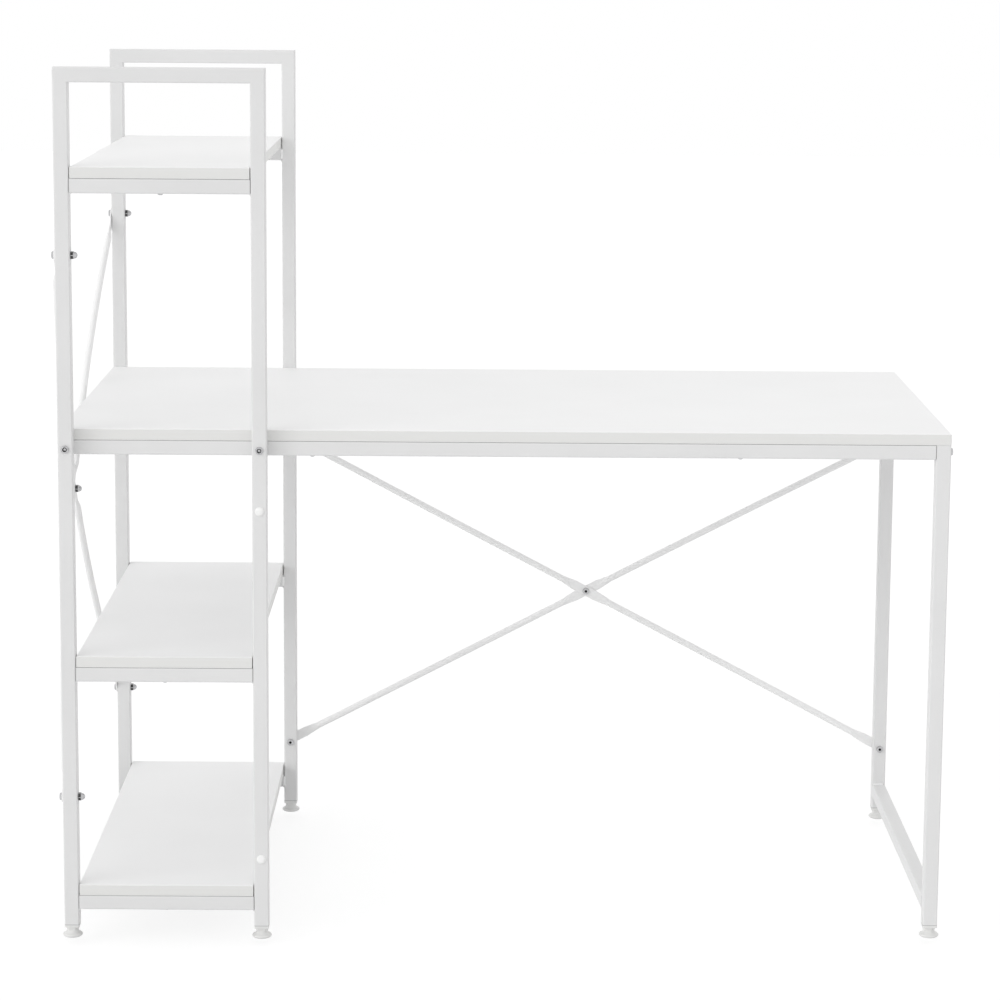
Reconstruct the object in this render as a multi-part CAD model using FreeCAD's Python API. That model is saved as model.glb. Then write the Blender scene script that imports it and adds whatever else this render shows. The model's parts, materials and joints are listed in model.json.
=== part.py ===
# Writing desk with a narrow shelf tower at its left end.
#
# Two equal ladder frames of square tube, front and back, carry three shelf boards. The desk frame
# is held between the ladders at its left end and by a leg frame at its right end. Crossed rods
# stiffen the tower's left side and the back of the desk. Six screw feet level it.
#
# The pieces are worked out with X from the tower's left face, Y from the tower's front face to the
# back and Z up from the floor. At the end all are moved so that the origin lies on the floor under
# the middle of the whole desk.
import FreeCAD
import Part
import math
import os

# Square steel tube of all frames.
tube_size = 20.0
tube_wall = 1.2
tube_inner_corner = 0.8
weld_groove = 0.7

# Overall plan: the desk top, and the width of the tower over its posts.
desk_length = 1200.0
desk_depth = 600.0
tower_width = 280.0

# Heights, stacked from the floor up: feet, lowest rail, then the clear height of each bay.
foot_height = 13.7
foot_gap = 0.3
insert_flange = 3.5
bottom_rail_rise = 22.5
bottom_bay_clear = 285.0
middle_bay_clear = 274.0
upper_bay_clear = 318.0
guard_clear = 111.0
leg_bar_rise = 18.0

# Boards: coated chipboard with slightly rounded edges.
board_thickness = 15.0
board_edge_round = 0.8
shelf_side_gap = 1.0

# Brace rods: round tube with flattened stretches where bolts pass.
rod_diameter = 10.0
rod_flat_rim = 2.25
rod_flat_thickness = 2.0
rod_tongue_end = 8.5
rod_tongue_length = 26.0
rod_crossing_flat = 20.0
rod_neck_length = 22.0
rod_arc_steps = 8
side_brace_bow = 20.0
side_brace_drop = 83.0
side_brace_rise = 122.0
back_brace_bow = 3.0
back_brace_drop = 73.0
back_brace_rise = 95.0

# Bolts with low domed heads, and closed dome nuts.
bolt_diameter = 6.0
bolt_hole_diameter = 6.6
bolt_head_diameter = 10.5
bolt_head_height = 3.3
bolt_socket_width = 4.0
bolt_engagement = 6.0
thread_gap = 0.05
nut_width = 10.0
nut_hex_height = 4.5
nut_height = 9.5
nut_roof = 2.0
rivet_nut_diameter = 9.0
rivet_nut_length = 12.0
rail_end_wall = 3.0
plug_gap = 0.1

# Wood screws from below through the rails into the boards.
screw_diameter = 4.0
screw_hole_diameter = 4.6
screw_head_diameter = 8.0
screw_head_height = 2.4
screw_slot_width = 1.1
screw_bite_share = 0.65
desk_screw_shares = (0.283, 0.764)

# Round caps that close the unused brace holes.
cap_diameter = 12.5
cap_height = 2.4
cap_stem_length = 7.0

# Screw feet: plastic base with a hexagonal collar, on a threaded stud.
insert_length = 18.0
stud_diameter = 8.0
stud_reach = 28.0
stud_socket_depth = 8.5
stud_tip_bevel = 1.0
foot_disc_diameter = 27.0
foot_sole_diameter = 23.0
foot_rim_height = 4.2
foot_collar_width = 15.0
foot_collar_height = 4.2

# Shares of the sizes above, and how far a cut runs past the piece that it cuts.
dome_rim_share = 0.25
dome_top_share = 0.45
dome_bulge_share = 0.12
recess_depth_share = 0.6
cross_reach_share = 0.55
nut_dome_share = 0.92
rim_widest_share = 0.55
rim_bulge_share = 0.10
flare_bulge_share = 0.13
trim_share = 4.0
overrun = 1.0


def vector(x, y, z):
    return FreeCAD.Vector(x, y, z)


right = vector(1, 0, 0)
left = vector(-1, 0, 0)
back = vector(0, 1, 0)
front = vector(0, -1, 0)
up = vector(0, 0, 1)
down = vector(0, 0, -1)

# Places that follow from the driving dimensions.
half_tube = tube_size / 2
tube_corner = tube_inner_corner + tube_wall
tube_bore = tube_size - 2 * tube_wall
tower_depth = desk_depth + 2 * tube_size
desk_front = tube_size
desk_back = tube_size + desk_depth
post_bottom = foot_height + foot_gap + insert_flange
shelf_step = tube_size + board_thickness
bottom_rail_bottom = post_bottom + bottom_rail_rise
middle_rail_bottom = bottom_rail_bottom + shelf_step + bottom_bay_clear
desk_rail_bottom = middle_rail_bottom + shelf_step + middle_bay_clear
top_rail_bottom = desk_rail_bottom + shelf_step + upper_bay_clear
tower_top = top_rail_bottom + shelf_step + guard_clear + tube_size
desk_rail_middle = desk_rail_bottom + half_tube
desk_rail_top = desk_rail_bottom + tube_size
bottom_shelf_top = bottom_rail_bottom + shelf_step
side_brace_heights = (bottom_shelf_top + side_brace_rise, top_rail_bottom - side_brace_drop)
back_brace_heights = (post_bottom + back_brace_rise, desk_rail_bottom - back_brace_drop)
left_post_x = half_tube
right_post_x = tower_width - half_tube
front_post_y = half_tube
back_post_y = tower_depth - half_tube
leg_x = desk_length - half_tube
front_leg_y = desk_front + half_tube
back_leg_y = desk_back - half_tube
shelf_names = ("bottom", "middle", "top")
shelf_rail_bottoms = (bottom_rail_bottom, middle_rail_bottom, top_rail_bottom)
shelf_middle_x = tower_width / 2
desk_screw_places = [share * desk_length for share in desk_screw_shares]
screw_bite = screw_bite_share * board_thickness
rod_flat_width = bolt_head_diameter + 2 * rod_flat_rim

nodes = {}


# Helpers: shapes are made upright on the origin and then placed.
def placed(shape, point, direction):
    """A copy of a shape made along +Z on the origin, moved to point and turned along direction."""
    moved = shape.copy()
    moved.Placement = FreeCAD.Placement(point, FreeCAD.Rotation(up, direction))
    return moved


def cylinder(diameter, length):
    return Part.makeCylinder(diameter / 2, length)


def drilled(shape, point, direction, diameter, depth):
    """The shape with a round hole that starts at point and goes depth along direction."""
    drill = cylinder(diameter, depth + 2 * overrun)
    return shape.cut(placed(drill, point - direction * overrun, direction))


def drilled_blind(shape, point, direction, diameter, depth):
    """The shape with a round hole that ends exactly depth below point."""
    drill = cylinder(diameter, depth + overrun)
    return shape.cut(placed(drill, point - direction * overrun, direction))


def rounded_square(side, corner):
    """Wire of a square with rounded corners, centred on the origin."""
    reach = side / 2 - corner
    centres = ((reach, reach), (-reach, reach), (-reach, -reach), (reach, -reach))

    def rim(index, degrees):
        x, y = centres[index % len(centres)]
        angle = math.radians(90 * index + degrees)
        return vector(x + corner * math.cos(angle), y + corner * math.sin(angle), 0)

    edges = []
    for index in range(len(centres)):
        edges.append(Part.Arc(rim(index, 0), rim(index, 45), rim(index, 90)).toShape())
        edges.append(Part.LineSegment(rim(index, 90), rim(index + 1, 0)).toShape())
    return Part.Wire(edges)


def square_bar(side, corner, length):
    return Part.Face(rounded_square(side, corner)).extrude(up * length)


def hexagon_bar(width, length):
    corner_radius = width / 2 / math.cos(math.radians(30))
    corners = []
    for index in range(7):
        angle = math.radians(60 * index)
        corners.append(vector(corner_radius * math.cos(angle), corner_radius * math.sin(angle), 0))
    return Part.Face(Part.makePolygon(corners)).extrude(up * length)


def bulged(start, end, bulge_share):
    """Arc from start to end in the XZ plane, standing off its chord by a share of its length."""
    chord = end - start
    middle = (start + end) * 0.5 + vector(chord.z, 0, -chord.x) * bulge_share
    return Part.Arc(start, middle, end).toShape()


def straight(start, end):
    return Part.LineSegment(start, end).toShape()


def revolved(edges):
    """Solid of revolution about Z from a closed outline in the XZ plane."""
    return Part.Face(Part.Wire(edges)).revolve(vector(0, 0, 0), up, 360)


def tube_between(start, end, groove_start=False, groove_end=False, end_wall=0):
    """Square tube from start to end, with a bevel round an end that meets a side of another tube.

    An end wall closes the tube at its end.
    """
    length = (end - start).Length
    bar = square_bar(tube_size, tube_corner, length)
    for height, grooved in ((0, groove_start), (length, groove_end)):
        if grooved:
            end_edges = []
            for edge in bar.Edges:
                reach = edge.BoundBox
                if max(abs(reach.ZMin - height), abs(reach.ZMax - height)) < weld_groove:
                    end_edges.append(edge)
            bar = bar.makeChamfer(weld_groove, end_edges)
    bore_end = length - end_wall if end_wall else length + overrun
    bore = placed(square_bar(tube_bore, tube_inner_corner, bore_end + overrun), down * overrun, up)
    return placed(bar.cut(bore), start, end - start)


def trimmed(shape, point, normal):
    """The shape without what lies beyond the plane through point, near that point."""
    side = trim_share * tube_size
    block = Part.makeBox(side, side, side, vector(-side / 2, -side / 2, 0))
    return shape.cut(placed(block, point, normal))


def board(x, y, z, length, depth):
    """Coated board with all its edges rounded a little."""
    slab = Part.makeBox(length, depth, board_thickness, vector(x, y, z))
    return slab.makeFillet(board_edge_round, slab.Edges)


def dome_head(diameter, height):
    """Low domed head under the origin's plane, flat side up."""
    radius = diameter / 2
    rim = vector(radius, 0, -height * dome_rim_share)
    crown = vector(radius * dome_top_share, 0, -height)
    centre = vector(0, 0, 0)
    pole = vector(0, 0, -height)
    edge = vector(radius, 0, 0)
    return revolved([straight(centre, edge), straight(edge, rim), bulged(rim, crown, -dome_bulge_share),
                     straight(crown, pole), straight(pole, centre)])


def socket_bolt(length):
    """Bolt whose head bears on the origin's plane and whose shank runs up, with a hexagon socket."""
    bolt = dome_head(bolt_head_diameter, bolt_head_height).fuse(cylinder(bolt_diameter, length))
    depth = bolt_head_height * recess_depth_share
    socket = hexagon_bar(bolt_socket_width, depth + overrun)
    return bolt.cut(placed(socket, down * (bolt_head_height + overrun), up)).removeSplitter()


def wood_screw(length):
    """Screw whose head bears on the origin's plane and whose shank runs up, with a cross recess."""
    screw = dome_head(screw_head_diameter, screw_head_height).fuse(cylinder(screw_diameter, length))
    depth = screw_head_height * recess_depth_share + overrun
    reach = screw_head_diameter * cross_reach_share
    slot = Part.makeBox(reach, screw_slot_width, depth, vector(-reach / 2, -screw_slot_width / 2, 0))
    other = Part.makeBox(screw_slot_width, reach, depth, vector(-screw_slot_width / 2, -reach / 2, 0))
    cross = placed(slot.fuse(other), down * (screw_head_height + overrun), up)
    return screw.cut(cross).removeSplitter()


def dome_nut():
    """Hexagon nut on the origin's plane, closed by a dome, with a blind thread."""
    dome_radius = nut_width * nut_dome_share / 2
    foot = vector(0, 0, nut_hex_height)
    edge = vector(dome_radius, 0, nut_hex_height)
    pole = vector(0, 0, nut_height)
    lean = math.radians(45)
    shoulder = vector(dome_radius * math.cos(lean), 0,
                      nut_hex_height + (nut_height - nut_hex_height) * math.sin(lean))
    crown = Part.Arc(edge, shoulder, pole).toShape()
    dome = revolved([straight(foot, edge), crown, straight(pole, foot)])
    nut = hexagon_bar(nut_width, nut_hex_height).fuse(dome)
    return drilled_blind(nut, vector(0, 0, 0), up, bolt_diameter + 2 * thread_gap, nut_height - nut_roof)


def group(shape, seats):
    """Separate copies of one small piece, each at its (point, direction)."""
    return Part.makeCompound([placed(shape, point, direction) for point, direction in seats])


# Where the bolts and screws bear: (point, direction of the shank).
tower_bolt_seats = []
rivet_nut_seats = []
for x in (left_post_x, right_post_x):
    tower_bolt_seats.append((vector(x, 0, desk_rail_middle), back))
    tower_bolt_seats.append((vector(x, tower_depth, desk_rail_middle), front))
    rivet_nut_seats.append((vector(x, desk_front, desk_rail_middle), back))
    rivet_nut_seats.append((vector(x, desk_back, desk_rail_middle), front))

leg_bolt_seats = [(vector(desk_length, y, desk_rail_middle), left) for y in (front_leg_y, back_leg_y)]
end_nut_seats = [(point + left * tube_size, left) for point, direction in leg_bolt_seats]

side_rod_seats = [vector(0, y, z) for y in (front_post_y, back_post_y) for z in side_brace_heights]
back_rod_seats = []
for x, y in ((right_post_x, tower_depth), (leg_x, desk_back)):
    for z in back_brace_heights:
        back_rod_seats.append(vector(x, y, z))

shelf_screw_seats = []
for z in shelf_rail_bottoms:
    for y in (front_post_y, back_post_y):
        shelf_screw_seats.append((vector(shelf_middle_x, y, z), up))
desk_screw_seats = []
for x in desk_screw_places:
    for y in (front_leg_y, back_leg_y):
        desk_screw_seats.append((vector(x, y, desk_rail_bottom), up))


# Shelf tower: one ladder of welded tube in front and an equal one behind.
def ladder(side, y):
    """Two posts and a top bar with mitred corners, and a rail under each shelf."""
    left_corner = vector(0, y, tower_top)
    right_corner = vector(tower_width, y, tower_top)
    posts = {}
    for hand, x in (("left", left_post_x), ("right", right_post_x)):
        post = tube_between(vector(x, y, post_bottom), vector(x, y, tower_top))
        hole_start = vector(x, y - half_tube, desk_rail_middle)
        posts[hand] = drilled(post, hole_start, back, bolt_hole_diameter, tube_size)
    posts["left"] = trimmed(posts["left"], left_corner, right + up)
    posts["right"] = trimmed(posts["right"], right_corner, left + up)
    for z in side_brace_heights:
        posts["left"] = drilled(posts["left"], vector(0, y, z), right, bolt_hole_diameter, tube_size)
    for z in back_brace_heights:
        hole_start = vector(right_post_x, y - half_tube, z)
        posts["right"] = drilled(posts["right"], hole_start, back, bolt_hole_diameter, tube_size)
    nodes[f"{side}_left_post"] = posts["left"]
    nodes[f"{side}_right_post"] = posts["right"]

    bar_z = tower_top - half_tube
    bar = tube_between(vector(0, y, bar_z), vector(tower_width, y, bar_z))
    bar = trimmed(bar, left_corner, left + down)
    nodes[f"{side}_top_bar"] = trimmed(bar, right_corner, right + down)

    for name, bottom in zip(shelf_names, shelf_rail_bottoms):
        z = bottom + half_tube
        rail = tube_between(vector(tube_size, y, z), vector(tower_width - tube_size, y, z), True, True)
        hole_start = vector(shelf_middle_x, y, bottom)
        nodes[f"{side}_{name}_shelf_rail"] = drilled(rail, hole_start, up, screw_hole_diameter, tube_size)


ladder("front", front_post_y)
ladder("back", back_post_y)

# Shelf boards lie on the front and back rails, between the posts.
screw_pilot_diameter = screw_diameter + 2 * thread_gap
shelf_start = tube_size + shelf_side_gap
for name, bottom in zip(shelf_names, shelf_rail_bottoms):
    shelf = board(shelf_start, 0, bottom + tube_size, tower_width - 2 * shelf_start, tower_depth)
    for y in (front_post_y, back_post_y):
        pilot = vector(shelf_middle_x, y, bottom + tube_size)
        shelf = drilled_blind(shelf, pilot, up, screw_pilot_diameter, screw_bite + thread_gap)
    nodes[f"{name}_shelf_board"] = shelf

# Desk frame: front and back rails mitred into a left end rail, held between the two ladders.
rail_end_x = desk_length - tube_size
front_left_corner = vector(0, desk_front, desk_rail_middle)
back_left_corner = vector(0, desk_back, desk_rail_middle)
for side, y, corner, inward, face_y in (
    ("front", front_leg_y, front_left_corner, back, desk_front),
    ("back", back_leg_y, back_left_corner, front, desk_back),
):
    rail_start = vector(0, y, desk_rail_middle)
    rail_end = vector(rail_end_x, y, desk_rail_middle)
    rail = tube_between(rail_start, rail_end, groove_end=True, end_wall=rail_end_wall)
    rail = trimmed(rail, corner, left + inward)
    rail = drilled(rail, rail_end, left, rivet_nut_diameter + 2 * thread_gap, rail_end_wall)
    for x in (left_post_x, right_post_x):
        nut_hole = vector(x, face_y, desk_rail_middle)
        rail = drilled(rail, nut_hole, inward, rivet_nut_diameter + 2 * thread_gap, tube_wall)
    for x in desk_screw_places:
        rail = drilled(rail, vector(x, y, desk_rail_bottom), up, screw_hole_diameter, tube_size)
    nodes[f"desk_{side}_rail"] = rail

end_rail_start = vector(half_tube, desk_front, desk_rail_middle)
end_rail_end = vector(half_tube, desk_back, desk_rail_middle)
end_rail = tube_between(end_rail_start, end_rail_end)
end_rail = trimmed(end_rail, front_left_corner, right + front)
nodes["desk_left_end_rail"] = trimmed(end_rail, back_left_corner, right + back)

# Leg frame at the right end: two legs joined by a bar near the floor and one under the top.
for side, y in (("front", front_leg_y), ("back", back_leg_y)):
    leg = tube_between(vector(leg_x, y, post_bottom), vector(leg_x, y, desk_rail_top))
    leg = drilled(leg, vector(rail_end_x, y, desk_rail_middle), right, bolt_hole_diameter, tube_size)
    if side == "back":
        for z in back_brace_heights:
            leg = drilled(leg, vector(leg_x, y - half_tube, z), back, bolt_hole_diameter, tube_size)
    nodes[f"{side}_leg"] = leg
leg_bar_middle = post_bottom + leg_bar_rise + half_tube
for name, z in (("leg_bottom_bar", leg_bar_middle), ("leg_top_bar", desk_rail_middle)):
    bar_start = vector(leg_x, desk_front + tube_size, z)
    bar_end = vector(leg_x, desk_back - tube_size, z)
    nodes[name] = tube_between(bar_start, bar_end, True, True)

# Desk top: one board over the desk frame, flush with the legs and with the tower's left face.
desk_top = board(0, desk_front, desk_rail_top, desk_length, desk_depth)
for point, direction in desk_screw_seats:
    pilot = point + up * tube_size
    desk_top = drilled_blind(desk_top, pilot, up, screw_pilot_diameter, screw_bite + thread_gap)
nodes["desk_top_board"] = desk_top


# Brace rods: round tube that is flattened at both ends and at the crossing.
def rod_section(centre, across, outward, flat):
    """Outline across a rod in four edges: two broad faces and two rounded sides."""
    if flat:
        half_width = rod_flat_width / 2
        half_height = rod_flat_thickness / 2
        corner_width = half_width - half_height
        corner_height = half_height
    else:
        half_width = rod_diameter / 2
        half_height = rod_diameter / 2
        corner_width = half_width * math.sqrt(0.5)
        corner_height = corner_width

    def at(width, height):
        return centre + across * width + outward * height

    corners = [at(-corner_width, corner_height), at(corner_width, corner_height),
               at(corner_width, -corner_height), at(-corner_width, -corner_height)]
    crowns = [at(0, half_height), at(half_width, 0), at(0, -half_height), at(-half_width, 0)]
    edges = []
    for index, crown in enumerate(crowns):
        start = corners[index]
        end = corners[(index + 1) % len(corners)]
        if flat and index % 2 == 0:
            edges.append(straight(start, end))
        else:
            edges.append(Part.Arc(start, crown, end).toShape())
    return Part.Wire(edges)


def brace_rod(start, end, outward, crossing_level):
    """Rod between two bolt holes on tube faces; crossing_level is its middle's height there."""
    run = end - start
    end_level = run.dot(outward)
    run = run - outward * end_level
    length = run.Length
    along = FreeCAD.Vector(run).normalize()
    across = along.cross(outward)
    rest = rod_flat_thickness / 2

    def section(distance, level, flat):
        return rod_section(start + along * distance + outward * level, across, outward, flat)

    def half(foot_level, place):
        """Sections from one end to the crossing; place measures a distance from that end."""
        neck = rod_tongue_length
        shoulder = length / 2 - rod_crossing_flat
        found = [section(place(-rod_tongue_end), foot_level, True), section(place(neck), foot_level, True)]
        first_round = neck + rod_neck_length
        last_round = shoulder - rod_neck_length
        for step in range(rod_arc_steps + 1):
            distance = first_round + (last_round - first_round) * step / rod_arc_steps
            left_over = 1 - (distance - neck) / (shoulder - neck)
            level = crossing_level - (crossing_level - foot_level) * left_over ** 2
            found.append(section(place(distance), level, False))
        found.append(section(place(shoulder), crossing_level, True))
        return found

    first = half(rest, lambda distance: distance)
    second = half(end_level + rest, lambda distance: length - distance)
    rod = Part.makeLoft(first + second[::-1], True, True)
    clear = rod_diameter + overrun
    for hole, level, away in ((0, rest, -along), (length, end_level + rest, along)):
        centre = start + along * hole + outward * (level - clear)
        tip = placed(cylinder(rod_flat_width, 2 * clear), centre, outward)
        box_corner = vector(0, -clear, -rod_flat_width)
        beyond = Part.makeBox(rod_flat_width, 2 * clear, 2 * rod_flat_width, box_corner)
        turn = FreeCAD.Rotation(away, outward, away.cross(outward), "XYZ")
        beyond.Placement = FreeCAD.Placement(start + along * hole + outward * level, turn)
        rod = rod.cut(beyond.cut(tip))
        rod = drilled(rod, centre, outward, bolt_hole_diameter, 2 * clear)
    crossing = start + along * (length / 2) + outward * (crossing_level - clear)
    return drilled(rod, crossing, outward, bolt_hole_diameter, 2 * clear)


def crossed_rods(prefix, seats, outward, first_level):
    """Two rods over the four seats (low and high at one end, low and high at the other)."""
    low_start, high_start, low_end, high_end = seats
    rest = rod_flat_thickness / 2
    nodes[f"{prefix}_brace_inner_rod"] = brace_rod(high_start, low_end, outward, first_level + rest)
    second_level = first_level + rod_flat_thickness + rest
    nodes[f"{prefix}_brace_outer_rod"] = brace_rod(low_start, high_end, outward, second_level)


back_crossing_level = (desk_back - tower_depth) / 2 + back_brace_bow
crossed_rods("side", side_rod_seats, left, side_brace_bow)
crossed_rods("back", back_rod_seats, back, back_crossing_level)

# Bolts and nuts. Those of the side brace have their heads outside, those of the back brace in front.
frame_bolt = socket_bolt(tube_size + rivet_nut_length)
nodes["tower_bolts"] = group(frame_bolt, tower_bolt_seats)
nodes["leg_bolts"] = group(frame_bolt, leg_bolt_seats)
rivet_nut = drilled(cylinder(rivet_nut_diameter, rivet_nut_length), vector(0, 0, 0), up,
                    bolt_diameter + 2 * thread_gap, rivet_nut_length)
nodes["rail_rivet_nuts"] = group(rivet_nut, rivet_nut_seats)
nodes["rail_end_nuts"] = group(rivet_nut, end_nut_seats)

brace_bolt = socket_bolt(tube_size + rod_flat_thickness + bolt_engagement)
brace_nut = dome_nut()
for prefix, seats, outward in (("side", side_rod_seats, left), ("back", back_rod_seats, back)):
    outside = [seat + outward * rod_flat_thickness for seat in seats]
    inside = [seat - outward * tube_size for seat in seats]
    heads, ends = (outside, inside) if prefix == "side" else (inside, outside)
    shank = -outward if prefix == "side" else outward
    nodes[f"{prefix}_brace_bolts"] = group(brace_bolt, [(head, shank) for head in heads])
    nodes[f"{prefix}_brace_nuts"] = group(brace_nut, [(end, shank) for end in ends])

crossing_bolt = socket_bolt(2 * rod_flat_thickness + bolt_engagement)
crossing_stack = 2 * rod_flat_thickness
side_crossing = vector(-side_brace_bow, tower_depth / 2, sum(side_brace_heights) / 2)
nodes["side_crossing_bolt"] = placed(crossing_bolt, side_crossing + left * crossing_stack, right)
nodes["side_crossing_nut"] = placed(brace_nut, side_crossing, right)
back_crossing = vector((right_post_x + leg_x) / 2, tower_depth + back_crossing_level,
                       sum(back_brace_heights) / 2)
nodes["back_crossing_bolt"] = placed(crossing_bolt, back_crossing, back)
nodes["back_crossing_nut"] = placed(brace_nut, back_crossing + back * crossing_stack, back)

# Wood screws hold the boards down on the rails.
board_screw = wood_screw(tube_size + screw_bite)
nodes["shelf_screws"] = group(board_screw, shelf_screw_seats)
nodes["desk_top_screws"] = group(board_screw, desk_screw_seats)

# Caps close both ends of the brace holes that the front ladder doesn't use.
cap_stem = cylinder(bolt_hole_diameter - 2 * plug_gap, cap_stem_length)
hole_cap = dome_head(cap_diameter, cap_height).fuse(cap_stem)
cap_seats = []
for z in back_brace_heights:
    cap_seats.append((vector(right_post_x, 0, z), back))
    cap_seats.append((vector(right_post_x, tube_size, z), front))
nodes["hole_caps"] = group(hole_cap.removeSplitter(), cap_seats)


# Screw feet: an insert closes each tube end and holds the stud, and the base turns on the stud.
def foot_base():
    """Round foot that flares out below a hexagonal collar, with a blind socket for the stud."""
    disc = foot_disc_diameter / 2
    collar_bottom = foot_height - foot_collar_height
    centre = vector(0, 0, 0)
    sole = vector(foot_sole_diameter / 2, 0, 0)
    widest = vector(disc, 0, foot_rim_height * rim_widest_share)
    rim_top = vector((disc + foot_sole_diameter / 2) / 2, 0, foot_rim_height)
    neck = vector(foot_collar_width / 2, 0, collar_bottom)
    pole = vector(0, 0, collar_bottom)
    flare = revolved([straight(centre, sole), bulged(sole, widest, rim_bulge_share),
                      bulged(widest, rim_top, rim_bulge_share), bulged(rim_top, neck, -flare_bulge_share),
                      straight(neck, pole), straight(pole, centre)])
    collar = placed(hexagon_bar(foot_collar_width, foot_collar_height), pole, up)
    socket_diameter = stud_diameter + 2 * thread_gap
    collar_top = vector(0, 0, foot_height)
    return drilled_blind(flare.fuse(collar), collar_top, down, socket_diameter, stud_socket_depth)


base = foot_base()
stud_start = foot_height - stud_socket_depth
stud = cylinder(stud_diameter, stud_socket_depth + stud_reach)
stud_tip_edges = [edge for edge in stud.Edges if edge.BoundBox.ZMin > stud_socket_depth]
stud = stud.makeChamfer(stud_tip_bevel, stud_tip_edges)
insert = square_bar(tube_size, tube_corner, insert_flange)
insert_plug = square_bar(tube_bore - 2 * plug_gap, tube_inner_corner, insert_flange + insert_length)
insert = drilled(insert.fuse(insert_plug), vector(0, 0, 0), up, stud_diameter + 2 * thread_gap,
                 insert_flange + insert_length)

foot_places = {
    "tower_front_left": (left_post_x, front_post_y),
    "tower_front_right": (right_post_x, front_post_y),
    "tower_back_left": (left_post_x, back_post_y),
    "tower_back_right": (right_post_x, back_post_y),
    "leg_front": (leg_x, front_leg_y),
    "leg_back": (leg_x, back_leg_y),
}
insert_seats = []
for name, (x, y) in foot_places.items():
    nodes[f"{name}_foot_base"] = placed(base, vector(x, y, 0), up)
    nodes[f"{name}_foot_stud"] = placed(stud, vector(x, y, stud_start), up)
    insert_seats.append((vector(x, y, foot_height + foot_gap), up))
nodes["post_end_inserts"] = group(insert, insert_seats)

# The origin goes to the floor under the middle of the whole desk.
box = Part.makeCompound(list(nodes.values())).optimalBoundingBox(False, False)
to_origin = vector(-box.Center.x, -box.Center.y, 0)

os.makedirs("parts", exist_ok=True)
for name, shape in nodes.items():
    if not shape.isValid():
        print("not valid:", name)
    moved = shape.copy()
    moved.translate(to_origin)
    moved.exportStep(f"parts/{name}.step")
print(len(nodes), "nodes; moved by", to_origin)
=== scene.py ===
import json
import math

import bmesh
import bpy
from mathutils import Matrix, Vector


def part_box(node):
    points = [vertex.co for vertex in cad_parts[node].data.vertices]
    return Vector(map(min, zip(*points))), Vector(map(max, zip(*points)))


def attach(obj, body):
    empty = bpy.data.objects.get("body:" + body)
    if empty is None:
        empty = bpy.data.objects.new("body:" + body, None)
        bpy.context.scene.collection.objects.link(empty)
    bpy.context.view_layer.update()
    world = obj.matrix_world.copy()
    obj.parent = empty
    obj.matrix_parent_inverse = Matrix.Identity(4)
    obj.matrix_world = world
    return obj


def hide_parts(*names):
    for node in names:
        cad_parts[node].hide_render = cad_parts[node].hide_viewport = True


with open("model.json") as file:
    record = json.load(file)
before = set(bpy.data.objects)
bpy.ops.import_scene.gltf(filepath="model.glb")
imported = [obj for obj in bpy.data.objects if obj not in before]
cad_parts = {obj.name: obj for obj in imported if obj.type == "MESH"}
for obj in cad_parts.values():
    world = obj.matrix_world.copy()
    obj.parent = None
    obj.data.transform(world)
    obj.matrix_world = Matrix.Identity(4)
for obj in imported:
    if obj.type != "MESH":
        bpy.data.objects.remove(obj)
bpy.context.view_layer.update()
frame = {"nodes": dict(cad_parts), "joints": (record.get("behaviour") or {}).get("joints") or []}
cad_nodes = frame["nodes"]


# Ladder frames of the shelf tower: two posts, a mitred top bar and three shelf rails each, of 20 mm
# square steel tube. They are welded, ground flush in front and powder coated satin white, which leaves
# a fine pebbled skin. A thin dark line is painted where two tubes meet: partly dirt in the joint, partly
# painted shade of the groove and gap between the parts.
patch_range = (0.35, 0.65)
grit_range = (0.3, 0.7)


def new_finish(name):
    """A new material, with its nodes, its shader and the socket that gives the place on the piece."""
    material = bpy.data.materials.new(name)
    material.use_nodes = True
    tree = material.node_tree
    shader = tree.nodes["Principled BSDF"]
    place = tree.nodes.new("ShaderNodeTexCoord").outputs["Object"]
    return material, tree, shader, place


def grain(tree, place, scale, detail):
    """Even noise about one half, with about as many spots to the metre as scale says."""
    noise = tree.nodes.new("ShaderNodeTexNoise")
    noise.inputs["Scale"].default_value = scale
    noise.inputs["Detail"].default_value = detail
    tree.links.new(place, noise.inputs["Vector"])
    return noise.outputs["Fac"]


def spread(tree, value, old_range, new_range):
    """The value with old_range stretched to new_range, and held at its ends beyond."""
    node = tree.nodes.new("ShaderNodeMapRange")
    sockets = ("From Min", "From Max", "To Min", "To Max")
    for socket, number in zip(sockets, (*old_range, *new_range)):
        node.inputs[socket].default_value = number
    tree.links.new(value, node.inputs["Value"])
    return node.outputs["Result"]


def reckoned(tree, operation, first, second):
    """The result of one sum; each side of it is a number or a socket."""
    node = tree.nodes.new("ShaderNodeMath")
    node.operation = operation
    for socket, value in zip(node.inputs, (first, second)):
        if isinstance(value, (int, float)):
            socket.default_value = value
        else:
            tree.links.new(value, socket)
    return node.outputs["Value"]


def mixed(tree, share, first, second):
    """Colour that goes from first to second as share goes from 0 to 1; each is a colour or a socket."""
    mix = tree.nodes.new("ShaderNodeMix")
    mix.data_type = "RGBA"
    tree.links.new(share, mix.inputs["Factor"])
    colour_sockets = [socket for socket in mix.inputs if socket.type == "RGBA"]
    for socket, colour in zip(colour_sockets, (first, second)):
        if isinstance(colour, tuple):
            socket.default_value = (*colour, 1)
        else:
            tree.links.new(colour, socket)
    return next(socket for socket in mix.outputs if socket.type == "RGBA")


def patchy(tree, noise, colours):
    """Light colour with patches of the shade where the noise is high."""
    light, shade = colours
    return mixed(tree, spread(tree, noise, patch_range, (0, 1)), light, shade)


def roughened(tree, shader, noise, roughness):
    """Roughness between its two values, as the noise goes."""
    tree.links.new(spread(tree, noise, grit_range, roughness), shader.inputs["Roughness"])


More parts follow.
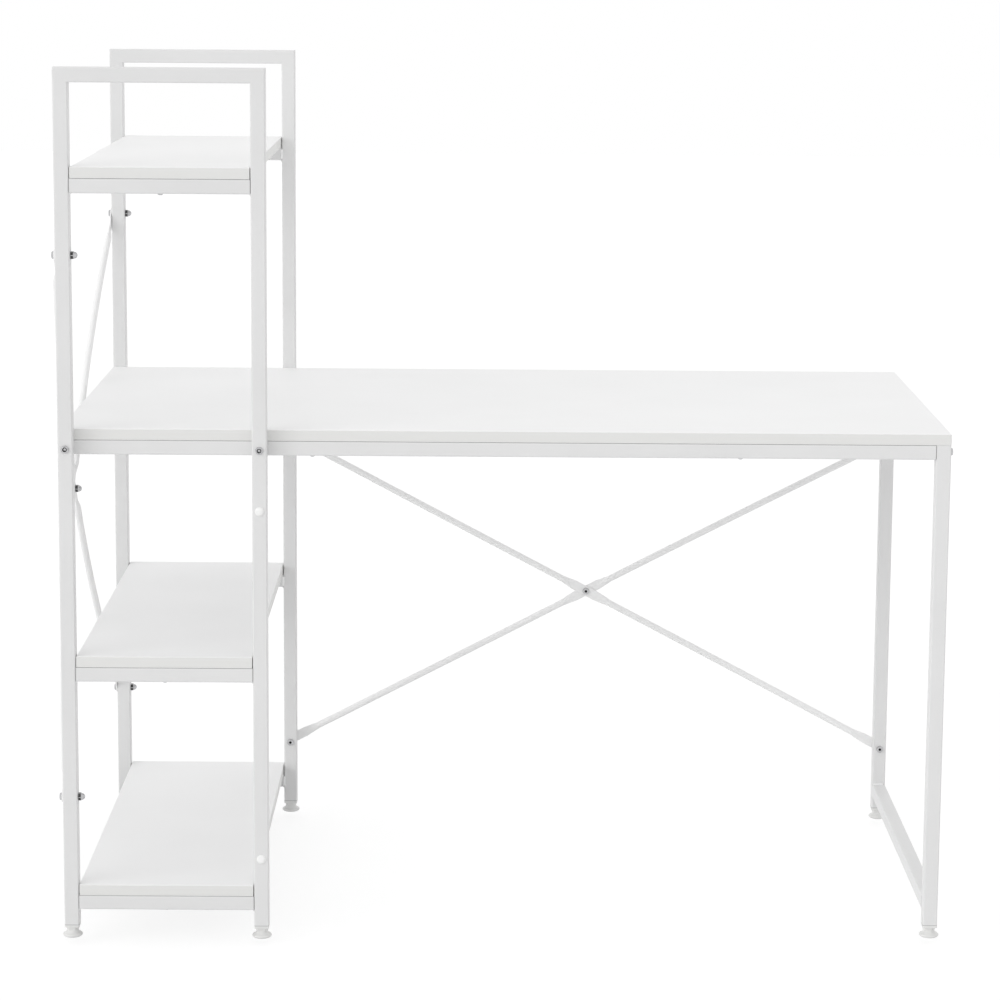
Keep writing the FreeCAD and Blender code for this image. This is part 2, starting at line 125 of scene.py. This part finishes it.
def embossed(tree, shader, height, relief, depth):
    """Fine relief in the light on the surface, as deep as depth where the height is full."""
    bump = tree.nodes.new("ShaderNodeBump")
    bump.inputs["Strength"].default_value = relief
    bump.inputs["Distance"].default_value = depth
    tree.links.new(height, bump.inputs["Height"])
    tree.links.new(bump.outputs["Normal"], shader.inputs["Normal"])


def joint_lines(tree, place, seams, width):
    """1 on the planes (normal, point) where tubes meet, falling to 0 at half the line's width."""
    line = None
    for normal, point in seams:
        along = tree.nodes.new("ShaderNodeVectorMath")
        along.operation = "DOT_PRODUCT"
        along.inputs[1].default_value = normal
        tree.links.new(place, along.inputs[0])
        offset = reckoned(tree, "SUBTRACT", along.outputs["Value"], Vector(normal).dot(point))
        nearness = spread(tree, reckoned(tree, "ABSOLUTE", offset, 0), (0, width / 2), (1, 0))
        line = nearness if line is None else reckoned(tree, "MAXIMUM", line, nearness)
    return line


coat_colours = ((0.76, 0.76, 0.76), (0.735, 0.735, 0.735))
coat_roughness = (0.36, 0.50)
coat_cloud_scale = 7
coat_cloud_detail = 3
coat_pebble_scale = 1500
coat_pebble_detail = 2
coat_pebble_relief = 0.05
coat_pebble_depth = 0.00005
joint_dirt_and_painted_shade = (0.20, 0.20, 0.20)
joint_line_width = 0.0019


def powder_coat(name, seams, colours=coat_colours, roughness=coat_roughness, relief=coat_pebble_relief):
    """Satin powder coat on steel tube, with a dark line on each plane where tubes meet, partly dirt and
    partly painted shade.
    """
    material, tree, shader, place = new_finish(name)
    cloud = grain(tree, place, coat_cloud_scale, coat_cloud_detail)
    colour = patchy(tree, cloud, colours)
    if seams:
        # The joint lines: partly dirt, partly painted shade of the groove or gap between the parts.
        line = joint_lines(tree, place, seams, joint_line_width)
        colour = mixed(tree, line, colour, joint_dirt_and_painted_shade)
    tree.links.new(colour, shader.inputs["Base Color"])
    pebbles = grain(tree, place, coat_pebble_scale, coat_pebble_detail)
    roughened(tree, shader, pebbles, roughness)
    embossed(tree, shader, pebbles, relief, coat_pebble_depth)
    return material


def dress(node, material):
    """Gives a CAD node its finish."""
    slots = cad_nodes[node].data.materials
    slots.clear()
    slots.append(material)


to_right, to_left = (1, 0, 0), (-1, 0, 0)
to_back, to_front = (0, 1, 0), (0, -1, 0)
to_top, to_floor = (0, 0, 1), (0, 0, -1)
left_post_low, left_post_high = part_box("front_left_post")
right_post_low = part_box("front_right_post")[0]
ladder_seams = [(to_right, (left_post_high.x, 0, 0)), (to_right, (right_post_low.x, 0, 0))]
for shelf in ("bottom", "middle", "top"):
    rail_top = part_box(f"front_{shelf}_shelf_rail")[1]
    ladder_seams.append((to_top, rail_top))
plain_coat = powder_coat("satin_white_coat", [(to_top, left_post_low)])
rail_coat = powder_coat("satin_white_coat_on_rails", ladder_seams)
for side in ("front", "back"):
    for hand in ("left", "right"):
        dress(f"{side}_{hand}_post", plain_coat)
    dress(f"{side}_top_bar", plain_coat)
    for shelf in ("bottom", "middle", "top"):
        dress(f"{side}_{shelf}_shelf_rail", rail_coat)


# Desk frame and leg frame: the same tube and coat. The long rails are mitred into the left end rail
# and bolted to the legs; the two bars of the leg frame are welded between the legs.
desk_rail_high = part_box("desk_front_rail")[1]
leg_bar_low, leg_bar_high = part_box("leg_top_bar")
leg_seam = (to_right, (desk_rail_high.x, 0, 0))
board_seam = (to_top, desk_rail_high)
desk_rail_coat = powder_coat("satin_white_coat_on_desk_rails", [leg_seam, board_seam])
for node in ("desk_front_rail", "desk_back_rail", "desk_left_end_rail"):
    dress(node, desk_rail_coat)
leg_bar_seams = [(to_back, (0, leg_bar_low.y, 0)), (to_back, (0, leg_bar_high.y, 0))]
leg_bar_coat = powder_coat("satin_white_coat_on_leg_bars", leg_bar_seams)
for node in ("leg_bottom_bar", "leg_top_bar"):
    dress(node, leg_bar_coat)
for node in ("front_leg", "back_leg"):
    dress(node, plain_coat)


# Weld beads: short rows of overlapping steel ripples that join the tubes where no one grinds them, under
# and behind the shelf rails and on the leg bars. The coat runs thicker and glossier over them, and its
# white is painted brighter than the frames' coat, a painted highlight for the glints on the ripples.
# Those on top of the low leg bar show from the front.
weld_colours_with_painted_glint = ((0.90, 0.90, 0.90), (0.87, 0.87, 0.87))
weld_roughness = (0.10, 0.18)
bead_half_width = 0.0022
bead_half_ripple = 0.0017
bead_step = 0.0020
bead_length = 0.0150
bead_voxel = 0.0004
bead_segments = 16
bead_rings = 10


def fresh_primitive(add, **sizes):
    """A new primitive, alone in the selection, with its place already in its mesh."""
    bpy.ops.object.select_all(action="DESELECT")
    add(**sizes)
    bpy.ops.object.transform_apply(location=True, rotation=True, scale=True)
    return bpy.context.object


def settle(piece):
    """Applies the piece's modifiers in their order."""
    bpy.context.view_layer.objects.active = piece
    for modifier in list(piece.modifiers):
        bpy.ops.object.modifier_apply(modifier=modifier.name)


def gathered(name, master, seats):
    """Copies of the master turned and moved to each (point, direction of its Z, direction of its X)."""
    copies = []
    for point, forward, sideways in seats:
        forward, sideways = Vector(forward), Vector(sideways)
        copy = master.copy()
        copy.data = master.data.copy()
        bpy.context.collection.objects.link(copy)
        turn = Matrix((sideways, forward.cross(sideways), forward)).transposed()
        copy.matrix_world = Matrix.Translation(point) @ turn.to_4x4()
        copies.append(copy)
    bpy.ops.object.select_all(action="DESELECT")
    for copy in copies:
        copy.select_set(True)
    bpy.context.view_layer.objects.active = copies[0]
    bpy.ops.object.join()
    bpy.ops.object.transform_apply(location=True, rotation=True, scale=True)
    piece = bpy.context.object
    piece.name = name
    return piece


bead = fresh_primitive(bpy.ops.mesh.primitive_uv_sphere_add, radius=bead_half_width,
                       segments=bead_segments, ring_count=bead_rings)
bpy.ops.object.mode_set(mode="EDIT")
bpy.ops.transform.resize(value=(bead_half_ripple / bead_half_width, 1, 1))
bpy.ops.transform.translate(value=(-(bead_length - bead_step) / 2, 0, 0))
bpy.ops.object.mode_set(mode="OBJECT")
ripples = bead.modifiers.new("ripples", "ARRAY")
ripples.use_relative_offset = False
ripples.use_constant_offset = True
ripples.constant_offset_displace = (bead_step, 0, 0)
ripples.count = int(bead_length / bead_step)
melt = bead.modifiers.new("melt", "REMESH")
melt.voxel_size = bead_voxel
settle(bead)
bpy.ops.object.shade_smooth()

bead_seats = []
for side, inward in (("front", to_back), ("back", to_front)):
    for shelf in ("bottom", "middle", "top"):
        low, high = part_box(f"{side}_{shelf}_shelf_rail")
        middle = (low + high) / 2
        inner_y = high.y if side == "front" else low.y
        for x in (low.x, high.x):
            bead_seats.append(((x, middle.y, low.z), to_floor, to_back))
            bead_seats.append(((x, inner_y, middle.z), inward, to_top))
bottom, top = 0, 1
for bar, faces in (("leg_bottom_bar", (bottom, top)), ("leg_top_bar", (bottom,))):
    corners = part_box(bar)
    middle = (corners[bottom] + corners[top]) / 2
    for face in faces:
        for corner in corners:
            bead_seats.append(((middle.x, corner.y, corners[face].z), to_top, to_right))
welds = gathered("weld_beads", bead, bead_seats)
bpy.data.objects.remove(bead)
weld_coat = powder_coat("glossy_coat_on_welds", [], weld_colours_with_painted_glint, weld_roughness)
welds.data.materials.append(weld_coat)
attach(welds, "frame")


# Boards: 15 mm chipboard with white melamine on both faces, and a white band glued round the edges.
# The faces have a fine matt grain; the bands are a little warmer and painted darker as shade.
board_colours = ((0.93, 0.93, 0.93), (0.915, 0.915, 0.915))
board_roughness = (0.45, 0.58)
board_cloud_scale = 5
board_cloud_detail = 2
board_grain_scale = 1100
board_grain_detail = 3
board_grain_relief = 0.06
board_grain_depth = 0.00005
band_colour_with_painted_shade = (0.76, 0.76, 0.748)
band_lean_range = (0.3, 0.6)


def melamine(name):
    """Melamine on the faces that look up or down; on the upright ones the edge band, painted darker as
    shade.
    """
    material, tree, shader, place = new_finish(name)
    cloud = grain(tree, place, board_cloud_scale, board_cloud_detail)
    face = patchy(tree, cloud, board_colours)
    axes = tree.nodes.new("ShaderNodeSeparateXYZ")
    tree.links.new(tree.nodes.new("ShaderNodeNewGeometry").outputs["Normal"], axes.inputs["Vector"])
    lean = reckoned(tree, "ABSOLUTE", axes.outputs["Z"], 0)
    on_edge = spread(tree, lean, band_lean_range, (1, 0))
    tree.links.new(mixed(tree, on_edge, face, band_colour_with_painted_shade), shader.inputs["Base Color"])
    fine = grain(tree, place, board_grain_scale, board_grain_detail)
    roughened(tree, shader, fine, board_roughness)
    embossed(tree, shader, fine, board_grain_relief, board_grain_depth)
    return material


board_finish = melamine("white_melamine")
for node in ("bottom_shelf_board", "middle_shelf_board", "top_shelf_board", "desk_top_board"):
    dress(node, board_finish)


# Brace rods: thin steel tube, pressed flat at both ends and where the two cross. Their coat is smoother
# than the frames', and its white is painted brighter, painted light that lifts the rods out of the desk's
# shade.
rod_colours_painted_brighter = ((0.90, 0.90, 0.90), (0.88, 0.88, 0.88))
rod_roughness = (0.42, 0.46)
rod_relief = 0.01
rod_coat = powder_coat("white_coat_painted_brighter", [], rod_colours_painted_brighter, rod_roughness, rod_relief)
for brace in ("side", "back"):
    for layer in ("inner", "outer"):
        dress(f"{brace}_brace_{layer}_rod", rod_coat)


# Socket bolts: M6 with low domed heads and a hexagon socket, zinc plated, with painted shade in the
# socket. They hold the desk frame between the ladders, the legs to the rails and the brace rods to the
# tubes. On those of the frame the face is painted black too, a painted dark reflection, leaving a zinc rim.
zinc_colours = ((0.60, 0.60, 0.61), (0.44, 0.44, 0.45))
zinc_roughness = (0.22, 0.36)
black_colours = ((0.020, 0.020, 0.020), (0.012, 0.012, 0.012))
black_roughness = (0.45, 0.60)
zinc_fleck_scale = 600
zinc_fleck_detail = 4
zinc_fleck_relief = 0.08
zinc_fleck_depth = 0.00004
bolt_head_radius = 0.00525
bolt_head_height = 0.0033
bolt_head_round = 0.0021
bolt_radius = 0.003
bolt_tip = 0.0008
bolt_tip_share = 0.75
bolt_sides = 40
bolt_round_steps = 6
socket_width = 0.0040
socket_depth = 0.0024
black_face_radius = 0.0034
crease_angle = math.radians(35)
touch = 0.00002


def zinc_plate(name, colours, roughness):
    """Plated steel, flecked in tone and gloss."""
    material, tree, shader, place = new_finish(name)
    shader.inputs["Metallic"].default_value = 1
    flecks = grain(tree, place, zinc_fleck_scale, zinc_fleck_detail)
    tree.links.new(patchy(tree, flecks, colours), shader.inputs["Base Color"])
    roughened(tree, shader, flecks, roughness)
    embossed(tree, shader, flecks, zinc_fleck_relief, zinc_fleck_depth)
    return material


def pick_faces(wanted):
    """In edit mode, selects only the faces that the test wants."""
    mesh = bpy.context.object.data
    bpy.ops.mesh.select_mode(type="FACE")
    bpy.ops.mesh.select_all(action="DESELECT")
    faces = bmesh.from_edit_mesh(mesh).faces
    for face in faces:
        face.select_set(wanted(face))
    bmesh.update_edit_mesh(mesh)


def pick_edges(wanted):
    """In edit mode, selects only the edges that the test wants."""
    mesh = bpy.context.object.data
    bpy.ops.mesh.select_mode(type="EDGE")
    bpy.ops.mesh.select_all(action="DESELECT")
    edges = bmesh.from_edit_mesh(mesh).edges
    for edge in edges:
        edge.select_set(wanted(edge))
    bmesh.update_edit_mesh(mesh)


def cut_or_join(piece, tool, operation):
    """Cuts the tool out of the piece or joins it on, and removes the tool."""
    cut = piece.modifiers.new("cut", "BOOLEAN")
    cut.operation = operation
    cut.solver = "EXACT"
    cut.object = tool
    settle(piece)
    bpy.data.objects.remove(tool)


def smoothed(piece):
    """Rounds the light over soft corners and keeps the sharp ones."""
    bpy.ops.object.select_all(action="DESELECT")
    piece.select_set(True)
    bpy.context.view_layer.objects.active = piece
    bpy.ops.object.shade_smooth_by_angle(angle=crease_angle)


def hexagon_prism(width, height, middle):
    """Upright hexagon prism, as wide as given from flat to flat."""
    return fresh_primitive(bpy.ops.mesh.primitive_cylinder_add, vertices=6, depth=height,
                           radius=width / 2 / math.cos(math.pi / 6), location=(0, 0, middle))


def drawn_out(height):
    """In edit mode, extrudes the selected faces straight up, or down if the height is negative."""
    bpy.ops.mesh.extrude_region_move(TRANSFORM_OT_translate={"value": (0, 0, height)})


zinc = zinc_plate("zinc_plating", zinc_colours, zinc_roughness)
socket_black = zinc_plate("socket_painted_shade_and_dark_reflection", black_colours, black_roughness)


def socket_bolt(length, black_face=False):
    """Bolt with its head below the ground plane and its shank up, with painted shade in the hexagon socket
    or a painted dark reflection on the face.
    """
    bolt = fresh_primitive(bpy.ops.mesh.primitive_cylinder_add, vertices=bolt_sides, radius=bolt_head_radius,
                           depth=bolt_head_height, location=(0, 0, -bolt_head_height / 2))
    bpy.ops.object.mode_set(mode="EDIT")
    pick_edges(lambda edge: all(corner.co.z < touch - bolt_head_height for corner in edge.verts))
    bpy.ops.mesh.bevel(offset=bolt_head_round, segments=bolt_round_steps)
    pick_faces(lambda face: face.calc_center_median().z > -touch)
    bpy.ops.mesh.inset(thickness=bolt_head_radius - bolt_radius)
    drawn_out(length - bolt_tip)
    drawn_out(bolt_tip)
    bpy.ops.transform.resize(value=(bolt_tip_share, bolt_tip_share, 1))
    bpy.ops.object.mode_set(mode="OBJECT")
    cutter = hexagon_prism(socket_width, 2 * socket_depth, -bolt_head_height)
    cut_or_join(bolt, cutter, "DIFFERENCE")
    bolt.data.materials.append(zinc)
    bolt.data.materials.append(socket_black)
    socket_floor = socket_depth - bolt_head_height
    # Painted shade in the socket; on the frame bolts, a painted dark reflection over the face.
    for face in bolt.data.polygons:
        reach = math.hypot(face.center.x, face.center.y)
        height = face.center.z
        between = touch - bolt_head_height < height < socket_floor + touch
        in_socket = between and reach < socket_width / 2 + touch
        on_face = reach < black_face_radius and height < socket_floor - touch
        if (black_face and on_face) or (in_socket and not black_face):
            face.material_index = 1
    smoothed(bolt)
    return bolt


def middle_of(node):
    """The middle of a CAD node's box."""
    low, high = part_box(node)
    return (low + high) / 2


def screwed_in(name, node, master, seats, body="frame"):
    """Copies of a bolt, nut or stud in place of one CAD node."""
    piece = gathered(name, master, seats)
    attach(piece, body)
    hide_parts(node)


tube = left_post_high.x - left_post_low.x
rod_thickness = 0.002
rivet_reach = 0.012
nut_bite = 0.006
front_y = left_post_low.y
back_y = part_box("back_left_post")[1].y
rail_z = middle_of("desk_front_rail").z
post_xs = (middle_of("front_left_post").x, middle_of("front_right_post").x)
leg_x = middle_of("front_leg").x
leg_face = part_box("front_leg")[1].x
leg_ys = (middle_of("front_leg").y, middle_of("back_leg").y)

frame_bolt = socket_bolt(tube + rivet_reach, black_face=True)
seats = []
for x in post_xs:
    seats.append(((x, front_y, rail_z), to_back, to_right))
    seats.append(((x, back_y, rail_z), to_front, to_top))
screwed_in("tower_socket_bolts", "tower_bolts", frame_bolt, seats)
seats = [((leg_face, y, rail_z), to_left, to_top) for y in leg_ys]
screwed_in("leg_socket_bolts", "leg_bolts", frame_bolt, seats)
bpy.data.objects.remove(frame_bolt)

brace_bolt = socket_bolt(tube + rod_thickness + nut_bite)
side_low, side_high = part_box("side_brace_bolts")
side_zs = (side_low.z + bolt_head_radius, side_high.z - bolt_head_radius)
side_ys = (middle_of("front_left_post").y, middle_of("back_left_post").y)
side_face = left_post_low.x
side_places = [(y, z) for y in side_ys for z in side_zs]
seats = [((side_face - rod_thickness, y, z), to_right, to_top) for y, z in side_places]
screwed_in("side_brace_socket_bolts", "side_brace_bolts", brace_bolt, seats)
back_low, back_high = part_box("back_brace_bolts")
back_zs = (back_low.z + bolt_head_radius, back_high.z - bolt_head_radius)
leg_back_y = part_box("back_leg")[1].y
back_tubes = ((post_xs[1], back_y), (leg_x, leg_back_y))
back_places = [(x, y, z) for x, y in back_tubes for z in back_zs]
seats = [((x, y - tube, z), to_back, to_right) for x, y, z in back_places]
screwed_in("back_brace_socket_bolts", "back_brace_bolts", brace_bolt, seats)
bpy.data.objects.remove(brace_bolt)

crossing_bolt = socket_bolt(2 * rod_thickness + nut_bite)
side_crossing = middle_of("side_crossing_bolt")
side_crossing.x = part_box("side_crossing_bolt")[0].x + bolt_head_height
seats = [(side_crossing, to_right, to_top)]
screwed_in("side_crossing_socket_bolt", "side_crossing_bolt", crossing_bolt, seats)
back_crossing = middle_of("back_crossing_bolt")
back_crossing.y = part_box("back_crossing_bolt")[0].y + bolt_head_height
seats = [(back_crossing, to_back, to_right)]
screwed_in("back_crossing_socket_bolt", "back_crossing_bolt", crossing_bolt, seats)
bpy.data.objects.remove(crossing_bolt)


# Dome nuts: zinc plated hexagon nuts with a closed round cap, on the far end of every brace bolt.
# Their broad flats are painted dark, a painted reflection; the bevelled corners and the dome stay zinc.
flat_colours = ((0.10, 0.10, 0.10), (0.05, 0.05, 0.05))
flat_roughness = (0.30, 0.45)
nut_width = 0.010
nut_hexagon_height = 0.0045
nut_height = 0.0095
nut_collar = 0.0003
nut_edge = 0.0005
nut_edge_steps = 2
nut_dome_share = 0.92
dome_radius = nut_width * nut_dome_share / 2
dome_height = nut_height - nut_hexagon_height - nut_collar
dome_segments = 40
dome_rings = 24

dome_nut = hexagon_prism(nut_width, nut_hexagon_height, nut_hexagon_height / 2)
bpy.ops.object.mode_set(mode="EDIT")
bpy.ops.mesh.select_all(action="SELECT")
bpy.ops.mesh.bevel(offset=nut_edge, segments=nut_edge_steps)
bpy.ops.object.mode_set(mode="OBJECT")
dome = fresh_primitive(bpy.ops.mesh.primitive_uv_sphere_add, radius=dome_radius,
                       segments=dome_segments, ring_count=dome_rings)
bpy.ops.object.mode_set(mode="EDIT")
bpy.ops.mesh.bisect(plane_co=(0, 0, 0), plane_no=to_top, clear_inner=True, use_fill=True)
bpy.ops.mesh.select_all(action="SELECT")
bpy.ops.transform.resize(value=(1, 1, dome_height / dome_radius))
bpy.ops.transform.translate(value=(0, 0, nut_hexagon_height))
pick_faces(lambda face: face.calc_center_median().z < nut_hexagon_height + touch)
drawn_out(-nut_hexagon_height / 2)
pick_faces(lambda face: face.calc_center_median().z > nut_hexagon_height)
bpy.ops.transform.translate(value=(0, 0, nut_collar))
bpy.ops.object.mode_set(mode="OBJECT")
cut_or_join(dome_nut, dome, "UNION")
dome_nut.data.materials.append(zinc)
dome_nut.data.materials.append(zinc_plate("nut_flats_painted_dark_reflection", flat_colours, flat_roughness))
# Painted dark reflection on the broad flats of the hexagon.
for face in dome_nut.data.polygons:
    upright = abs(face.normal.z) < touch
    broad = face.area > nut_hexagon_height * nut_edge
    if upright and broad and face.center.z < nut_hexagon_height:
        face.material_index = 1
smoothed(dome_nut)

seats = [((side_face + tube, y, z), to_right, to_top) for y, z in side_places]
screwed_in("side_brace_dome_nuts", "side_brace_nuts", dome_nut, seats)
seats = [((x, y + rod_thickness, z), to_back, to_right) for x, y, z in back_places]
screwed_in("back_brace_dome_nuts", "back_brace_nuts", dome_nut, seats)
side_crossing.x += 2 * rod_thickness
seats = [(side_crossing, to_right, to_top)]
screwed_in("side_crossing_dome_nut", "side_crossing_nut", dome_nut, seats)
back_crossing.y += 2 * rod_thickness
seats = [(back_crossing, to_back, to_right)]
screwed_in("back_crossing_dome_nut", "back_crossing_nut", dome_nut, seats)
bpy.data.objects.remove(dome_nut)


# Rivet nuts and wood screws: small zinc plated steel. The nuts are set in the rails for the bolts of
# the frame, and the screws are driven from below through the rails into the boards.
for node in ("rail_rivet_nuts", "rail_end_nuts", "shelf_screws", "desk_top_screws"):
    dress(node, zinc)


# Hole caps, tube inserts and foot bases: injection moulded plastic. The caps are pressed into spare
# brace holes and are pure white; the inserts, which close the tubes' lower ends and take the studs, and
# the bases are slightly grey beside the coat.
cap_colours = ((0.92, 0.92, 0.915), (0.89, 0.89, 0.885))
foot_colours = ((0.78, 0.78, 0.77), (0.74, 0.74, 0.73))
plastic_roughness = (0.38, 0.52)
plastic_cloud_scale = 40
plastic_cloud_detail = 2
plastic_spark_scale = 900
plastic_spark_detail = 3
plastic_spark_relief = 0.1
plastic_spark_depth = 0.00005


def moulded_plastic(name, colours):
    """Plastic with the fine spark-eroded skin of its mould."""
    material, tree, shader, place = new_finish(name)
    cloud = grain(tree, place, plastic_cloud_scale, plastic_cloud_detail)
    tree.links.new(patchy(tree, cloud, colours), shader.inputs["Base Color"])
    spark = grain(tree, place, plastic_spark_scale, plastic_spark_detail)
    roughened(tree, shader, spark, plastic_roughness)
    embossed(tree, shader, spark, plastic_spark_relief, plastic_spark_depth)
    return material


foot_plastic = moulded_plastic("pale_foot_plastic", foot_colours)
dress("hole_caps", moulded_plastic("white_cap_plastic", cap_colours))
dress("post_end_inserts", foot_plastic)
feet = [f"tower_{side}_{hand}" for side in ("front", "back") for hand in ("left", "right")]
feet += ["leg_front", "leg_back"]
for foot in feet:
    dress(f"{foot}_foot_base", foot_plastic)


# Foot studs: M8 threaded rod, zinc plated, moulded into the base and screwed into the tube's insert.
# The thread shows when a foot is screwed out.
thread_pitch = 0.00125
thread_depth = 0.0007
thread_steps = 24
thread_bare_turns = 2
ridge_sink = 0.0001
ridge_height_share = 1.5
tip_steps = 2
stud_low, stud_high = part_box("leg_front_foot_stud")
stud_radius = (stud_high.x - stud_low.x) / 2
stud_length = stud_high.z - stud_low.z
core_radius = stud_radius - thread_depth
ridge_radius = (thread_depth + ridge_sink) / ridge_height_share

stud_core = fresh_primitive(bpy.ops.mesh.primitive_cylinder_add, vertices=thread_steps, radius=core_radius,
                            depth=stud_length, location=(0, 0, stud_length / 2))
bpy.ops.object.mode_set(mode="EDIT")
pick_edges(lambda edge: all(corner.co.z > stud_length - touch for corner in edge.verts))
bpy.ops.mesh.bevel(offset=thread_depth, segments=tip_steps)
bpy.ops.object.mode_set(mode="OBJECT")
apex_outward = Matrix((to_back, to_top, to_right)).to_euler()
ridge = fresh_primitive(bpy.ops.mesh.primitive_circle_add, vertices=3, radius=ridge_radius,
                        fill_type="NOTHING", rotation=apex_outward,
                        location=(stud_radius - ridge_radius, 0, ridge_radius))
winding = ridge.modifiers.new("winding", "SCREW")
winding.screw_offset = thread_pitch
winding.iterations = int(stud_length / thread_pitch) - thread_bare_turns
winding.steps = thread_steps
winding.render_steps = thread_steps
settle(ridge)
bpy.ops.object.mode_set(mode="EDIT")
for low, high in ((-math.inf, stud_length / 2), (stud_length / 2, math.inf)):
    pick_edges(lambda edge: edge.is_boundary and low < edge.verts[0].co.z < high)
    bpy.ops.mesh.edge_face_add()
bpy.ops.mesh.select_all(action="SELECT")
bpy.ops.mesh.normals_make_consistent(inside=False)
bpy.ops.object.mode_set(mode="OBJECT")
ridge.select_set(True)
stud_core.select_set(True)
bpy.context.view_layer.objects.active = stud_core
bpy.ops.object.join()
smoothed(stud_core)
stud_core.data.materials.append(zinc)
for foot in feet:
    node = f"{foot}_foot_stud"
    seat = middle_of(node)
    seat.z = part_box(node)[0].z
    screwed_in(f"{foot}_threaded_stud", node, stud_core, [(seat, to_top, to_right)], f"{foot}_stud")
bpy.data.objects.remove(stud_core)


# Studio: a white floor that keeps the soft shadow of the desk, as deep as the feet reach when screwed
# right out, under a pale world. Two wide soft lights are part of that world: a stronger one low on the
# left, and one higher up between left and front.
floor_size = 30
floor_bounce = (0.85, 0.85, 0.85, 1)
floor_shade = (0.30, 0.30, 0.30, 1)
floor_white = 0.76
world_glow = 0.87
soft_lights = [((-0.837, -0.483, 0.259), 4.4), ((-0.526, -0.698, 0.485), 1.76)]
light_core_angle = math.radians(6)
light_rim_angle = math.radians(16)


def seen_directly(tree):
    """1 for rays from the camera and for mirrored and passed-through ones, 0 for light bouncing about."""
    path = tree.nodes.new("ShaderNodeLightPath")
    seen = reckoned(tree, "MAXIMUM", path.outputs["Is Camera Ray"], path.outputs["Is Glossy Ray"])
    return reckoned(tree, "MAXIMUM", seen, path.outputs["Is Transmission Ray"])


foot_reach = max(joint["range_m"][1] for joint in frame["joints"] if joint["type"] == "slide")
bpy.ops.object.select_all(action="DESELECT")
bpy.ops.mesh.primitive_plane_add(size=floor_size, location=(0, 0, -foot_reach))
floor = bpy.context.object
floor.name = "studio_floor"
floor_paint = bpy.data.materials.new("studio_floor_paint")
floor_paint.use_nodes = True
# The floor's own white is for the eye alone and lights nothing, so it isn't sampled as a lamp.
floor_paint.cycles.emission_sampling = "NONE"
tree = floor_paint.node_tree
tree.nodes.clear()
bounce = tree.nodes.new("ShaderNodeBsdfDiffuse")
bounce.inputs["Color"].default_value = floor_bounce
shadowed = tree.nodes.new("ShaderNodeBsdfDiffuse")
shadowed.inputs["Color"].default_value = floor_shade
white = tree.nodes.new("ShaderNodeEmission")
white.inputs["Strength"].default_value = floor_white
shown = tree.nodes.new("ShaderNodeAddShader")
tree.links.new(shadowed.outputs["BSDF"], shown.inputs[0])
tree.links.new(white.outputs["Emission"], shown.inputs[1])
together = tree.nodes.new("ShaderNodeMixShader")
tree.links.new(seen_directly(tree), together.inputs["Fac"])
tree.links.new(bounce.outputs["BSDF"], together.inputs[1])
tree.links.new(shown.outputs["Shader"], together.inputs[2])
output = tree.nodes.new("ShaderNodeOutputMaterial")
tree.links.new(together.outputs["Shader"], output.inputs["Surface"])
floor.data.materials.append(floor_paint)

world = bpy.data.worlds.new("studio_world")
bpy.context.scene.world = world
world.use_nodes = True
tree = world.node_tree
sky = tree.nodes["Background"]
sky.inputs["Color"].default_value = (1, 1, 1, 1)
outlook = tree.nodes.new("ShaderNodeTexCoord").outputs["Generated"]
light_range = (math.cos(light_rim_angle), math.cos(light_core_angle))
glow = world_glow
for direction, brightness in soft_lights:
    along = tree.nodes.new("ShaderNodeVectorMath")
    along.operation = "DOT_PRODUCT"
    along.inputs[1].default_value = direction
    tree.links.new(outlook, along.inputs[0])
    soft_light = spread(tree, along.outputs["Value"], light_range, (0, brightness))
    glow = reckoned(tree, "ADD", soft_light, glow)
seen = seen_directly(tree)
unseen = reckoned(tree, "SUBTRACT", 1, seen)
strength = reckoned(tree, "ADD", reckoned(tree, "MULTIPLY", glow, unseen), seen)
tree.links.new(strength, sky.inputs["Strength"])


# Camera: a long lens in front of the desk's middle, a little higher than the tower and tilted down, at
# the picture's viewing angle. Its place, lens and turns are fitted to edges that the picture shows.
image_width = 1000
sensor_width = 36
focal_pixels = 3089.09
camera_shift = -0.08
camera_tilt = 0.1565
camera_roll = 0.0073
camera_turn = 0.0036
camera_place = (-0.01045, -4.40195, 1.36631)
bpy.ops.object.camera_add(location=camera_place)
camera = bpy.context.object
camera.data.sensor_width = sensor_width
camera.data.lens = focal_pixels / image_width * sensor_width
camera.data.shift_y = camera_shift
heading = Matrix.Rotation(-camera_turn, 3, "Z")
pitch = Matrix.Rotation(math.pi / 2 - camera_tilt, 3, "X")
roll = Matrix.Rotation(camera_roll, 3, "Z")
camera.rotation_euler = (heading @ pitch @ roll).to_euler()
bpy.context.scene.camera = camera
bpy.context.scene.view_settings.view_transform = "Standard"
